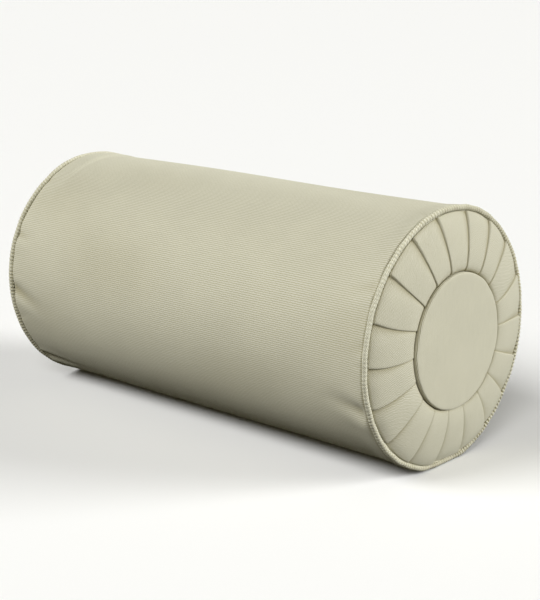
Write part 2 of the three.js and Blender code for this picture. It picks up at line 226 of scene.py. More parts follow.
def finish_with(piece, kind, **settings):
    """Adds a modifier and applies it."""
    deselect()
    piece.select_set(True)
    bpy.context.view_layer.objects.active = piece
    modifier = piece.modifiers.new(kind.lower(), kind)
    for key, value in settings.items():
        setattr(modifier, key, value)
    bpy.ops.object.modifier_apply(modifier=modifier.name)


def smooth(piece):
    piece.data.polygons.foreach_set("use_smooth", [True] * len(piece.data.polygons))


def ease(x, low, high):
    """Rises smoothly from 0 at low to 1 at high."""
    t = np.clip((x - low) / (high - low), 0, 1)
    return t * t * (3 - 2 * t)


def settle(y, z, sag):
    """The underside gives way to the floor: no point is lower, and the flat fades in softly."""
    lowest = -axis_height + np.maximum(sag, 0)
    raised = z - lowest
    return y, lowest + (raised + np.sqrt(raised ** 2 + FLOOR_BLEND ** 2)) / 2


def pucker(x, turn, side, angle, reach, slant, depth, width):
    """A dent in the sleeve that starts at an end seam and fades inwards, with a swell on each side.

    angle is degrees above the level of the axis on the front, slant is degrees gained over reach."""
    along = (seam_x - side * x) / reach
    middle = math.radians(180 - angle) + np.radians(slant) * along
    across = sleeve_radius * ((turn - middle + math.pi) % (2 * math.pi) - math.pi) / width
    fade = np.clip(1 - along, 0, 1) ** 1.6 * ease(along, 0.0, 0.12)
    dent = np.exp(-across ** 2) - 0.55 * np.exp(-((across - 1.9) / 1.3) ** 2)
    dent -= 0.3 * np.exp(-((across + 1.9) / 1.3) ** 2)
    return -depth * fade * dent


# The deeper puckers, where the sleeve was eased in more. Side 1 is the right end.
PUCKERS = (
    # side, angle, reach, slant, depth, width
    (-1, -3, 46 * MM, 10, 2.5 * MM, 6.4 * MM),
    (-1, 24, 30 * MM, 3, 1.7 * MM, 4.6 * MM),
    (-1, -47, 60 * MM, 7, 2.6 * MM, 4.2 * MM),
    (-1, -58, 50 * MM, 6, 2.5 * MM, 3.8 * MM),
    (-1, 55, 24 * MM, -5, 0.6 * MM, 4.0 * MM),
    (1, -21, 46 * MM, -5, 2.4 * MM, 6.2 * MM),
    (1, 34, 32 * MM, 4, 0.9 * MM, 5.0 * MM),
    (1, 8, 20 * MM, 3, 0.4 * MM, 4.0 * MM),
    (1, -58, 40 * MM, 6, 2.0 * MM, 4.8 * MM),
)
SMALL_PUCKERS = 16  # round each end
SMALL_PUCKER_WIDTH = 2.6 * MM
WAVES = 9  # broad and shallow, all over the sleeve
WAVE_HEIGHT = 0.16 * MM
SWELL = 1.2 * MM  # where the filling is packed tighter, on top at the left end


def sleeve_relief(x, turn):
    """How far the stuffed sleeve stands off its even radius."""
    relief = sum(pucker(x, turn, *p) for p in PUCKERS)
    rng = np.random.default_rng(7)
    for side in (-1, 1):
        for k in range(SMALL_PUCKERS):
            angle = 360 / SMALL_PUCKERS * k + rng.uniform(-8, 8)
            reach = rng.uniform(12, 26) * MM
            depth = rng.uniform(0.15, 0.45) * MM
            slant = rng.uniform(-6, 6)
            relief += pucker(x, turn, side, angle, reach, slant, depth, SMALL_PUCKER_WIDTH)
    for k in range(WAVES):
        waves = rng.integers(2, 7)
        along = rng.uniform(8, 26)
        phase = rng.uniform(0, 6.28, 2)
        relief += WAVE_HEIGHT * np.sin(waves * turn + phase[0]) * np.sin(along * x + phase[1])
    swell = ease(-x, 168 * MM, 175 * MM)
    swell = swell * np.exp(-((turn - math.radians(93)) / 0.45) ** 2)
    return relief + SWELL * swell


def half_rows(reach, drop, short_of_seam, plump):
    """Places along half of the sleeve and the radius there, from the middle to the seam allowance.

    The cloth turns down into the seam over reach, and loses drop of its radius there. plump is how
    far the stuffing presses the cloth's edge up against the piping."""
    corner = seam_x - short_of_seam - reach
    turn = np.radians([0, 15, 30, 45, 60, 75, 90])
    x = [corner * s for s in (0, 0.08, 0.16, 0.24, 0.32, 0.4, 0.48, 0.56, 0.63, 0.69, 0.74)]
    x += list(np.linspace(0.78 * corner, corner, 30)[:-1])
    r = [sleeve_radius] * len(x)
    x += list(corner + reach * np.sin(turn))
    r += list(sleeve_radius - drop * (1 - np.cos(turn)))
    x.append(corner + reach)
    r.append(sleeve_radius - drop - SEAM_ALLOWANCE)
    x, r = np.array(x), np.array(r)
    return x, r + plump * ease(x, corner - 16 * MM, corner)


def sleeve_rows():
    """The sleeve is pulled closer over the piping at the right end than at the left."""
    right_x, right_r = half_rows(reach=1.5 * MM, drop=2.4 * MM, short_of_seam=1.15 * MM, plump=1.15 * MM)
    left_x, left_r = half_rows(reach=2.8 * MM, drop=2.9 * MM, short_of_seam=1.6 * MM, plump=0)
    return np.concatenate([-left_x[:0:-1], right_x]), np.concatenate([left_r[:0:-1], right_r])


def make_sleeve():
    """Columns run round from the fold above the zip to the fold below it, rows from end to end."""
    row_x, row_r = sleeve_rows()
    share = np.linspace(0, 1, SLEEVE_COLUMNS)
    inwards = np.array([a for a, _ in FOLDED_EDGE]) * MM
    under = np.array([d for _, d in FOLDED_EDGE])
    from_fold = np.concatenate([inwards, 0.4 * MM * (1 - 2 * share), -inwards[::-1]])
    of_width = np.concatenate([[0] * len(under), share, [1] * len(under)])
    depth = np.concatenate([under, [0] * SLEEVE_COLUMNS, under[::-1]]) * MM
    x = row_x[None, :]
    gap = WINDOW / 2 * (1 - ease(np.abs(x), WINDOW_END, WINDOW_END + WINDOW_CLOSES)) + CLOSED_GAP
    width = 2 * math.pi * sleeve_radius - 2 * gap
    arc = from_fold[:, None] + of_width[:, None] * width
    turn = ZIP_ANGLE + (gap + arc) / sleeve_radius
    relief = sleeve_relief(x, turn % (2 * math.pi))
    near_zip = np.exp(-(np.minimum(arc, width - arc) / (12 * MM)) ** 2)
    relief = relief * (1 - 0.8 * near_zip)  # the stitching holds the cloth flat there
    radius = row_r[None, :] - depth[:, None] + relief * ease(row_r, 90 * MM, sleeve_radius)[None, :]
    y = radius * np.cos(turn)
    z = radius * np.sin(turn)
    y, z = settle(y, z, (sleeve_radius - radius) * 0.9)
    points = np.stack([x + 0 * y, y, z + axis_height], axis=-1)
    cut = np.stack([gap + arc, x + 0 * arc], axis=-1)
    # painted shade in the dents of the puckers and in the seam beside the piping
    painted_shade_beside_piping = ease(np.abs(x), seam_x - 2 * MM, seam_x - 1.2 * MM)
    painted_shade = np.clip(-relief / (3.2 * MM), 0, 0.8) + 0.3 * painted_shade_beside_piping
    columns, rows = points.shape[:2]
    panel = cloth_grid("cover_sleeve_cloth", columns, rows)
    lay(panel, *grid_index(panel, columns, rows), points, cut, np.clip(painted_shade, 0, 1))
    smooth(panel)
    finish_with(panel, "SOLIDIFY", thickness=CLOTH, offset=-1)
    return panel


# Cotton canvas with a slub weft: matt, ribbed along the bolster, each rib broken where the warp
# crosses it, with shade painted in a darker olive down between the yarns, so the crowns look paler.
COVER_COLOUR = "#ccc9b8"
# painted shade: the colour of the cloth down between the yarns
COVER_PAINTED_SHADE = "#a8a583"
# painted shade: the tint that darkens the colour in creases, folds, dents and hollows, where shade falls
PAINTED_SHADE_TINT = "#b5ab83"  # light that reaches a crease has bounced off the cloth, which warms it
FLOAT_DIP = 0.55  # how far a rib sinks where the warp crosses it


def weave_material(name, colour, painted_shade_between_yarns, rib, float_length, turn=0.0, relief=0.35, uneven=0.05):
    """Plain cloth whose ribs lie along V. rib and float_length are in mm on the cut cloth."""
    cloth, shader = new_material(name)
    per_mm = 1 / (MM * UV_PER_METRE)
    uv = add(cloth, "UVMap")["UV"]
    wander = add(cloth, "TexNoise", Vector=uv, Scale=26.0, Detail=2.0)["Color"]
    shifted = add(cloth, "VectorMath", {"operation": "MULTIPLY_ADD"}, i0=wander,
                  i1=(0.007, 0.03, 0), i2=uv)["Vector"]
    placed = add(cloth, "Mapping", Vector=shifted, Rotation=(0, 0, turn),
                 Scale=(per_mm, per_mm, 1))["Vector"]
    apart = add(cloth, "SeparateXYZ", i0=placed)
    rib_count = add(cloth, "Math", {"operation": "DIVIDE"}, i0=apart["X"], i1=rib)["Value"]
    rib_number = add(cloth, "Math", {"operation": "FLOOR"}, i0=rib_count)["Value"]
    rib_phase = add(cloth, "Math", {"operation": "MULTIPLY"}, i0=rib_count, i1=math.pi)["Value"]
    rib_round = add(cloth, "Math", {"operation": "SINE"}, i0=rib_phase)["Value"]
    rib_round = add(cloth, "Math", {"operation": "ABSOLUTE"}, i0=rib_round)["Value"]
    float_count = add(cloth, "Math", {"operation": "DIVIDE"}, i0=apart["Y"], i1=float_length)["Value"]
    float_phase = add(cloth, "Math", {"operation": "MULTIPLY_ADD"}, i0=rib_number, i1=0.5,
                      i2=float_count)["Value"]
    float_phase = add(cloth, "Math", {"operation": "MULTIPLY"}, i0=float_phase, i1=math.pi)["Value"]
    float_round = add(cloth, "Math", {"operation": "SINE"}, i0=float_phase)["Value"]
    float_round = add(cloth, "Math", {"operation": "ABSOLUTE"}, i0=float_round)["Value"]
    float_round = add(cloth, "Math", {"operation": "POWER"}, i0=float_round, i1=0.35)["Value"]
    float_round = add(cloth, "Math", {"operation": "MULTIPLY_ADD"}, i0=float_round, i1=FLOAT_DIP,
                      i2=1 - FLOAT_DIP)["Value"]
    yarn = add(cloth, "Math", {"operation": "MULTIPLY"}, i0=rib_round, i1=float_round)["Value"]
    # painted shade: gap is how far down between the yarns a point lies, and darkens the colour there
    gap = add(cloth, "MapRange", {"interpolation_type": "SMOOTHSTEP"}, Value=yarn, From_Min=0.08,
              From_Max=0.75, To_Min=1.0, To_Max=0.0)["Result"]
    fuzz = add(cloth, "TexNoise", Vector=placed, Scale=2.2, Detail=3.0)["Fac"]
    streak = add(cloth, "Mapping", Vector=placed, Scale=(0.9, 0.06, 1))["Vector"]
    slub = add(cloth, "TexNoise", Vector=streak, Scale=1.0, Detail=3.0)["Fac"]
    cloud = add(cloth, "TexNoise", Vector=uv, Scale=2.6, Detail=3.0)["Fac"]
    base = add(cloth, "Mix", {"data_type": "RGBA"}, i0=gap, i6=srgb(colour), i7=srgb(painted_shade_between_yarns))[2]
    shade = add(cloth, "Math", {"operation": "ADD"}, i0=slub, i1=cloud)["Value"]
    shade = add(cloth, "Math", {"operation": "ADD"}, i0=shade, i1=fuzz)["Value"]
    value = add(cloth, "MapRange", Value=shade, From_Min=1.05, From_Max=1.95, To_Min=1 - uneven,
                To_Max=1 + uneven)["Result"]
    tinted = add(cloth, "HueSaturation", Color=base, Value=value)["Color"]
    # painted shade: the attribute darkens the colour towards the tint where shade falls in creases
    painted_shade_amount = add(cloth, "Attribute", {"attribute_name": "painted_shade"})["Fac"]
    colour_with_painted_shade = add(cloth, "Mix", {"data_type": "RGBA", "blend_type": "MULTIPLY"}, i0=painted_shade_amount, i6=tinted,
               i7=srgb(PAINTED_SHADE_TINT))[2]
    link(cloth, colour_with_painted_shade, shader.inputs["Base Color"])
    height = add(cloth, "Math", {"operation": "MULTIPLY_ADD"}, i0=fuzz, i1=0.45, i2=yarn)["Value"]
    bump = add(cloth, "Bump", Height=height, Strength=relief, Distance=0.25 * MM)["Normal"]
    link(cloth, bump, shader.inputs["Normal"])
    shader.inputs["Roughness"].default_value = 0.93
    shader.inputs["Specular IOR Level"].default_value = 0.18
    shader.inputs["Sheen Weight"].default_value = 0.25
    shader.inputs["Sheen Roughness"].default_value = 0.55
    shader.inputs["Sheen Tint"].default_value = srgb("#efeedb")
    return cloth


sleeve_canvas = weave_material("cotton_slub_canvas", COVER_COLOUR, COVER_PAINTED_SHADE, rib=1.61,
                               float_length=4.2)
sleeve = make_sleeve()
sleeve.data.materials.append(sleeve_canvas)
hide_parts("cover_sleeve")
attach(sleeve, "cover")


# ---------------------------------------------------------------- pleated ends
# Each end is a strip of the same canvas laid in eighteen knife pleats that all fold one way round.
# Its outer edge is caught in the end seam, and its inner edge is gathered under the disc.
ENDS = (("right", 1), ("left", -1))
PLEATS = 18
TUCK = 5 * MM  # how far a pleat runs on under the next one's fold
PLEAT_FACE = np.concatenate([np.linspace(0, 0.3, 9), np.linspace(0.36, 0.9, 9), [0.95, 1.0]])
FOLD_DEGREES = (20, 40, 60, 80, 100, 125, 155)
PLEAT_PLUMP = 0.55 * MM
PLEAT_CLOTH = 0.45 * MM  # pressed thin
CUT_PER_PLEAT = 47 * MM
SOFTENS_FROM = 58 * MM  # the pleats are pressed flat at the disc, and softer from here outwards
SOFTEST_AT = 93 * MM
# How dark the shade painted at these places is, from 0 to 1: under a fold, at the seam and at the disc.
FOLD_PAINTED_SHADE = 0.55
SEAM_PAINTED_SHADE = 0.6
DISC_PAINTED_SHADE = 0.45


def end_profile():
    """Radius and height beyond the seam plane, from seam to disc: at the fold of a pleat, which lies
    on three layers, and where the pleat goes under its neighbour's fold."""
    folded = np.array([
        (94.6, 0.5), (95.3, 0.9), (95.6, 1.4), (95.6, 2.0), (95.1, 2.7), (94.1, 3.3), (92.6, 4.1),
        (90.7, 4.9), (88.2, 5.8), (84.8, 6.8), (80.1, 7.9), (74.6, 8.9), (68.8, 9.8), (62.5, 10.4),
        (56.8, 10.5), (53.9, 9.9), (52.5, 8.7), (51.8, 7.2), (51.3, 5.6), (47, 4.8), (44, 4.6),
    ])
    tucked = np.array([
        (94.6, 0.3), (94.9, 0.5), (94.8, 0.8), (94.3, 1.1), (93.5, 1.6), (92.3, 2.3), (90.8, 3.1),
        (88.9, 3.9), (86.5, 4.8), (83.1, 5.9), (78.7, 7.0), (73.4, 8.1), (67.8, 8.9), (61.8, 9.3),
        (56.5, 9.3), (53.8, 8.8), (52.4, 7.8), (51.8, 6.6), (51.3, 5.4), (47, 4.7), (44, 4.5),
    ])
    return folded * MM, tucked * MM


def refine(profile, times):
    """More points on a smooth curve through a profile."""
    n = len(profile)
    p = np.vstack([2 * profile[0] - profile[1], profile, 2 * profile[-1] - profile[-2]])
    out = []
    for i in range(n - 1):
        a, b, c, d = p[i:i + 4]
        for k in range(times):
            t = k / times
            out.append(0.5 * (2 * b + (c - a) * t + (2 * a - 5 * b + 4 * c - d) * t * t
                              + (3 * b - a - 3 * c + d) * t ** 3))
    out.append(profile[-1])
    return np.array(out)


def pleat_path(low, high, folded, tucked):
    """One pleat, from under the fold before it, over its own face and fold, and back underneath.

    low and high are the angles of the two folds at each radius. Each entry of the path is an angle,
    a share of the way from tucked to folded, a share of the face, a place along the cloth, and the
    shade painted there, darker the deeper it lies in a crease."""
    mid_r = (folded[:, 0] + tucked[:, 0]) / 2
    near_rim = ease(mid_r, SOFTENS_FROM, SOFTEST_AT)
    softness = 0.14 + 0.36 * near_rim  # how much of the face rises from under the fold before it
    shaded_width = (1.2 + 2.9 * near_rim) * MM
    edge = (high - low) * mid_r
    tuck = TUCK / mid_r
    # the last of each entry is its painted shade, full where the cloth lies hidden under a fold
    path = [
        (low - tuck, -0.45 + 0 * tuck, 0, -TUCK, 1),
        (low - tuck * 0.35, -0.2 + 0 * tuck, 0, -TUCK * 0.35, 1),
    ]
    for face in PLEAT_FACE:
        rise = ease(face, 0, softness) * 0.45 + 0.55 * face
        # painted shadow that the fold before it casts on the start of this face, wider towards the rim
        shade = np.exp(-((face * edge / shaded_width) ** 1.6)) * (0.85 - 0.25 * near_rim)
        path.append((low + (high - low) * face, rise, face, face * edge, shade))
    for degrees in FOLD_DEGREES:
        turn = math.radians(degrees)
        down = (1 - math.cos(turn)) / 2
        slope = (0.5 + 0.8 * near_rim) * down
        over = (0.14 * math.sin(turn) + slope) * (folded - tucked)[:, 1] / mid_r
        # painted shade under the fold, darkest where it turns back underneath
        shade = FOLD_PAINTED_SHADE * ease(degrees, 50, 155)
        path.append((high + over, 1 - down + 0 * mid_r, 1, edge + down * 2 * MM, shade))
    path.append((high - tuck * 0.4, -0.05 + 0 * tuck, 1, edge + 4 * MM, 1))
    path.append((high - tuck * 1.08, -0.35 + 0 * tuck, 1, edge + 7 * MM, 1))
    return path


def make_pleated_end(name, mirror_x):
    """The whole ring of pleats as one strip of cloth that goes round and folds back under itself."""
    folded, tucked = (refine(p, 2) for p in end_profile())
    mid_r = (folded[:, 0] + tucked[:, 0]) / 2
    width = 2 * math.pi / PLEATS
    rng = np.random.default_rng(11 if mirror_x > 0 else 23)
    lean_rim = np.radians(rng.uniform(-1.1, 1.1, PLEATS))
    lean_disc = np.radians(rng.uniform(-0.9, 0.9, PLEATS))
    bow = np.radians(rng.uniform(0.2, 1.6, PLEATS))
    plump = rng.uniform(0.7, 1.15, PLEATS)
    inward = np.clip((96 * MM - mid_r) / (45 * MM), 0, 1)
    columns = []
    for k in range(PLEATS):
        low = k * width + lean_rim[k] * (1 - inward) + lean_disc[k] * inward
        low = low + bow[k] * np.sin(math.pi * inward)
        n = (k + 1) % PLEATS
        high = (k + 1) * width + lean_rim[n] * (1 - inward) + lean_disc[n] * inward
        high = high + bow[n] * np.sin(math.pi * inward)
        for angle, rise, face, along, shade in pleat_path(low, high, folded, tucked):
            place = tucked + (folded - tucked) * rise[:, None]
            cushion = PLEAT_PLUMP * plump[k] * math.sin(math.pi * face) * ease(mid_r, 52 * MM, 66 * MM)
            cushion = cushion * ease(97 * MM - mid_r, 0.5 * MM, 9 * MM)
            height = place[:, 1] + cushion
            columns.append((angle, place[:, 0], height, along + 0 * mid_r, k, shade + 0 * mid_r))
    columns.append((columns[0][0] + 2 * math.pi, *columns[0][1:]))
    angle = np.stack([c[0] + 0 * mid_r for c in columns])
    radius = np.stack([c[1] for c in columns])
    height = np.stack([c[2] for c in columns])
    y = radius * np.cos(angle)
    z = radius * np.sin(angle)
    y, z = settle(y, z, rim_radius - radius)
    x = seam_x + height
    points = np.stack([mirror_x * x, mirror_x * y, z + axis_height], axis=-1)
    along = np.stack([c[3] for c in columns])
    start = np.array([c[4] for c in columns])[:, None] * CUT_PER_PLEAT
    down = np.concatenate([[0], np.cumsum(np.hypot(np.diff(folded[:, 0]), np.diff(folded[:, 1])))])
    cut = np.stack([along + start, down[None, :] + 0 * along], axis=-1)
    # painted shade along the seam and round the disc
    painted_shade_at_seam = SEAM_PAINTED_SHADE * np.exp(-np.maximum(down - 0.5 * MM, 0) / (1.3 * MM))
    painted_shade_at_disc = DISC_PAINTED_SHADE * np.exp(-np.maximum(down[-1] - 12 * MM - down, 0) / (1.2 * MM))
    painted_shade = np.stack([c[5] for c in columns]) + painted_shade_at_seam + painted_shade_at_disc
    panel = cloth_grid(name, *points.shape[:2])
    lay(panel, *grid_index(panel, *points.shape[:2]), points, cut, np.clip(painted_shade, 0, 1))
    in_edit_mode(panel, weld)
    smooth(panel)
    finish_with(panel, "SOLIDIFY", thickness=PLEAT_CLOTH, offset=-1)
    return panel


# The same canvas, which lies aslant here and looks finer where the pressing has closed its ribs.
pleat_canvas = weave_material("cotton_slub_canvas_on_the_bias", COVER_COLOUR, COVER_PAINTED_SHADE, rib=1.15,
                              float_length=3.0, turn=math.radians(38), relief=0.3)
for side, mirror_x in ENDS:
    pleats = make_pleated_end(f"pleated_end_{side}_cloth", mirror_x)
    pleats.data.materials.append(pleat_canvas)
    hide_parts(f"pleated_end_{side}")
    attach(pleats, "cover")


# ---------------------------------------------------------------- piping
# A bias strip of the canvas folded round a cord and caught in the end seam. Going round the curve
# draws it up, so fine ridges run across it. They fade on the front of the right end, and are lower
# all round the left end, where the strip was pulled flatter.
PIPING_RADIUS = 2.3 * MM
STRIP_GIRTH = 14.5 * MM  # once round the cord
FLANGE_HALF = 0.5 * MM  # half of the doubled strip that goes into the seam
RIDGE = 3.0 * MM  # a little coarser than the real ridges, so that they show
RIDGE_HEIGHT = 0.9 * MM
LEFT_RIDGES = 0.6  # how high they stand round the left end, as a share
RIDGE_STEPS = 8
# painted shade between two ridges, this dark at the deepest
VALLEY_PAINTED_SHADE = 0.75  # how deep the strip lies in a crease between two ridges
TUBE_STEPS = 16
UNEVEN = 0.14 * MM  # how far the strip strays outwards and inwards, and from side to side
SWAY = 0.12 * MM
PRESSED = 0.45  # at the right end the sleeve is pulled round the cord and flattens that side of it
KNUCKLE = 0.8 * MM  # a lump in the left strip, where its ends are joined


def make_piping(name, mirror_x):
    """The strip as a tube with its two flanges, ridged and a little uneven."""
    middle = rim_radius - PIPING_RADIUS
    ridges = round(2 * math.pi * middle / RIDGE)
    turn = np.linspace(0, 2 * math.pi, ridges * RIDGE_STEPS + 1)[:, None]
    rng = np.random.default_rng(3 if mirror_x > 0 else 5)
    start = math.asin(FLANGE_HALF / PIPING_RADIUS)
    tube = np.linspace(start, 2 * math.pi - start, TUBE_STEPS)
    across = np.concatenate([[0, 0], tube, [0, 0]])
    on_tube = np.concatenate([[0, 0], np.ones(TUBE_STEPS), [0, 0]])
    wave = sum(rng.uniform(0.3, 1) * np.sin(n * turn + rng.uniform(0, 6.28)) for n in (5, 9, 14, 23, 37))
    sway = sum(rng.uniform(0.3, 1) * np.sin(n * turn + rng.uniform(0, 6.28)) for n in (4, 7, 13, 21))
    pitch = turn * ridges + 0.5 * np.sin(19 * turn) + 0.35 * np.sin(across[None, :] + 1)
    size = 1 + 0.25 * np.sin(31 * turn + 1) * np.sin(12 * turn)
    size = size * (1 - 0.85 * np.exp(-((turn - math.pi * 0.94) / 1.2) ** 2))
    if mirror_x < 0:
        size = size * LEFT_RIDGES
    ridge = RIDGE_HEIGHT * (np.abs(np.cos(pitch / 2)) - 0.64) * size * on_tube
    r_tube = PIPING_RADIUS - 0.1 * MM + ridge
    out = -r_tube * np.cos(across)[None, :]
    sideways = -r_tube * np.sin(across)[None, :]
    if mirror_x > 0:
        sideways = np.where(sideways < 0, PRESSED * sideways, sideways)
    low = middle - PIPING_RADIUS
    knuckle = 0 if mirror_x > 0 else KNUCKLE * np.exp(-((turn - 1.2) / 0.25) ** 2)
    radius = middle + out + (UNEVEN * wave + knuckle) * on_tube
    x = sideways + SWAY * sway * on_tube
    # the two flanges, each with its raw edge deepest in the seam
    for face, inner, outer in ((-1, 0, 1), (1, -1, -2)):
        radius[:, inner] = low - SEAM_ALLOWANCE
        radius[:, outer] = low
        x[:, [inner, outer]] = face * FLANGE_HALF
    y = radius * np.cos(turn)
    z = radius * np.sin(turn)
    y, z = settle(y, z, (rim_radius - radius) * 0.9)
    points = np.stack([mirror_x * (seam_x + x), mirror_x * y, z + axis_height], axis=-1)
    girth = np.concatenate([[-SEAM_ALLOWANCE, 0], tube * PIPING_RADIUS,
                            [STRIP_GIRTH, STRIP_GIRTH + SEAM_ALLOWANCE]])
    cut = np.stack([turn * middle + 0 * girth, girth + 0 * turn], axis=-1)
    # painted shade down between the ridges
    painted_valley_shade = VALLEY_PAINTED_SHADE * (0.5 - 0.5 * np.cos(pitch)) ** 1.5 * size
    painted_shade = np.clip(painted_valley_shade * on_tube, 0, 1)
    strip = cloth_grid(name, *points.shape[:2])
    lay(strip, *grid_index(strip, *points.shape[:2]), points, cut, painted_shade)
    in_edit_mode(strip, weld)
    smooth(strip)
    return strip


# The same canvas again, cut aslant and stretched, which makes it look paler.
strip_canvas = weave_material("cotton_slub_canvas_bias_strip", "#dddbca", COVER_PAINTED_SHADE, rib=1.1,
                              float_length=2.4, turn=math.radians(45), relief=0.3)
for side, mirror_x in ENDS:
    strip = make_piping(f"piping_strip_{side}_cloth", mirror_x)
    strip.data.materials.append(strip_canvas)
    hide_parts(f"piping_strip_{side}")
    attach(strip, "cover")


# ---------------------------------------------------------------- covered discs
# A round of canvas is drawn over wadding and a stiff former, and its edge is turned in behind.
# It sits on the gathered edges of the pleats, and is tied through to the backing inside.
DISC_DOME = 0.8 * MM
DISC_EDGE = 1.0 * MM  # the radius of its front edge
DISC_CLOTH = 0.5 * MM
DISC_COLUMNS = 160
DISC_WOBBLE = 0.07 * MM  # how far its edge wavers, in height and then in radius
DISC_WAVER = 0.06 * MM


def make_disc_cover(name, mirror_x):
    """A shallow dome with a rounded edge, turned in behind. Its edge wavers a little."""
    low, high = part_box(f"disc_cover_{'right' if mirror_x > 0 else 'left'}")
    radius = high[2] - axis_height
    front = max(abs(low[0]), abs(high[0])) - seam_x
    back = min(abs(low[0]), abs(high[0])) - seam_x
    rim = front - DISC_DOME
    shares = (0, 0.1, 0.2, 0.3, 0.4, 0.5, 0.6, 0.7, 0.8, 0.86, 0.91, 0.945)
    profile = [(radius * s, rim + DISC_DOME * (1 - s * s)) for s in shares]
    for degrees in (0, 18, 36, 54, 72, 90):
        bend = math.radians(degrees)
        profile.append((radius - DISC_EDGE * (1 - math.sin(bend)), rim - DISC_EDGE * (1 - math.cos(bend))))
    profile += [(radius, rim - 2.4 * MM), (radius, back + 1.6 * MM), (radius - 0.1 * MM, back + 0.5 * MM),
                (radius - 0.7 * MM, back + 0.05 * MM), (radius - 6 * MM, back), (radius - 12 * MM, back)]
    profile = np.array(profile)
    turn = np.linspace(0, 2 * math.pi, DISC_COLUMNS + 1)[:, None]
    r = profile[None, :, 0] + 0 * turn
    h = profile[None, :, 1] + 0 * turn
    edge = ease(profile[:, 0], 0.72 * radius, radius)[None, :]
    rng = np.random.default_rng(17 if mirror_x > 0 else 19)
    wobble = sum(np.sin(n * turn + rng.uniform(0, 6.28)) for n in (3, 5, 8, 13, 21))
    waver = sum(np.sin(n * turn + rng.uniform(0, 6.28)) for n in (4, 6, 11, 17))
    h = h + DISC_WOBBLE * wobble * edge
    r = r + DISC_WAVER * waver * edge
    x = seam_x + h
    y = r * np.cos(turn)
    z = r * np.sin(turn)
    points = np.stack([mirror_x * x, mirror_x * y, z + axis_height], axis=-1)
    reach = np.concatenate([[0], np.cumsum(np.hypot(*np.diff(profile, axis=0).T))])
    cut = np.stack([reach[None, :] * np.cos(turn), reach[None, :] * np.sin(turn)], axis=-1)
    # painted shade on the side of the disc, below its rounded front edge
    painted_shade = 0.5 * ease(rim - profile[:, 1], 1.2 * MM, 3.2 * MM)[None, :]
    cover = cloth_grid(name, *points.shape[:2])
    lay(cover, *grid_index(cover, *points.shape[:2]), points, cut, painted_shade)
    in_edit_mode(cover, weld)
    smooth(cover)
    finish_with(cover, "SOLIDIFY", thickness=DISC_CLOTH, offset=-1)
    return cover


# The same canvas, drawn flat over the former.
disc_canvas = weave_material("cotton_slub_canvas_on_the_disc", COVER_COLOUR, COVER_PAINTED_SHADE, rib=1.1,
                             float_length=2.2, turn=math.radians(4), relief=0.25, uneven=0.06)
for side, mirror_x in ENDS:
    cover = make_disc_cover(f"disc_cover_{side}_cloth", mirror_x)
    cover.data.materials.append(disc_canvas)
    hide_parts(f"disc_cover_{side}")
    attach(cover, "cover")


# ---------------------------------------------------------------- zip window stitching
# A row of straight topstitching holds the folded edges of the sleeve along each side of the zip,
# and a satin bar tack closes each end of the window.
STITCH_PITCH = 2.9 * MM
STITCH_LENGTH = 2.3 * MM
STITCH_FROM_FOLD = 2.5 * MM
STITCH_SINK = 0.25 * MM  # below the outside of the cloth, where the needle went in
STITCH_ARCH = 0.42 * MM
THREAD = 0.5 * MM
TACK_LENGTH = 2.2 * MM  # along the zip
TACK_OVERHANG = 2.4 * MM  # past each side of the window
TACK_THREADS = 26
TACK_HEIGHT = 0.4 * MM


def on_zip(x, out, across):
    """Points in the zip's own directions: along the bolster, out from its axis, and up across."""
    y = out * math.cos(ZIP_ANGLE) - across * math.sin(ZIP_ANGLE)
    z = out * math.sin(ZIP_ANGLE) + across * math.cos(ZIP_ANGLE)
    return np.stack([x + 0 * y, y, z + axis_height], axis=-1)


def close_ends():
    """A step for in_edit_mode: fills the open ends of a tube."""
    bpy.ops.mesh.select_all(action="DESELECT")
    bpy.ops.mesh.select_non_manifold()
    bpy.ops.mesh.edge_face_add()


def face_out():
    """A step for in_edit_mode: turns every face outwards."""
    bpy.ops.mesh.normals_make_consistent(inside=False)


def one_thread(name, path_x, path_out, path_across, thickness, sides):
    """A short length of thread along a path in the zip's directions, as an open tube."""
    path = np.stack([path_x, path_out, path_across])
    ahead = np.gradient(path, axis=1)
    ahead /= np.linalg.norm(ahead, axis=0)
    across = np.cross(ahead.T, (0.13, 0.2, 0.97)).T
    across /= np.linalg.norm(across, axis=0)
    third = np.cross(ahead.T, across.T).T
    turn = np.linspace(0, 2 * math.pi, sides + 1)[None, :]
    ring = across[:, :, None] * np.cos(turn) + third[:, :, None] * np.sin(turn)
    x, out, side = path[:, :, None] + thickness / 2 * ring
    points = on_zip(x, out, side)
    cut = np.stack([path_x[:, None] + 0 * turn, thickness / 2 * turn + 0 * x], axis=-1)
    thread = cloth_grid(name, *points.shape[:2])
    lay(thread, *grid_index(thread, *points.shape[:2]), points, cut, 0)
    in_edit_mode(thread, weld)
    return thread


def topstitch(name, side):
    """One stitch, repeated along the window. It dips into the cloth at both ends."""
    t = np.linspace(0, 1, 7)
    x = -WINDOW_END + STITCH_LENGTH * t
    out = sleeve_radius - STITCH_SINK + STITCH_ARCH * np.sin(math.pi * t) ** 0.6
    across = side * (WINDOW / 2 + STITCH_FROM_FOLD) + 0 * t
    row = one_thread(name, x, out, across, THREAD, sides=6)
    in_edit_mode(row, close_ends)
    count = round(2 * WINDOW_END / STITCH_PITCH)
    finish_with(row, "ARRAY", count=count, use_relative_offset=False, use_constant_offset=True,
                constant_offset_displace=(STITCH_PITCH, 0, 0))
    in_edit_mode(row, face_out)
    smooth(row)
    return row


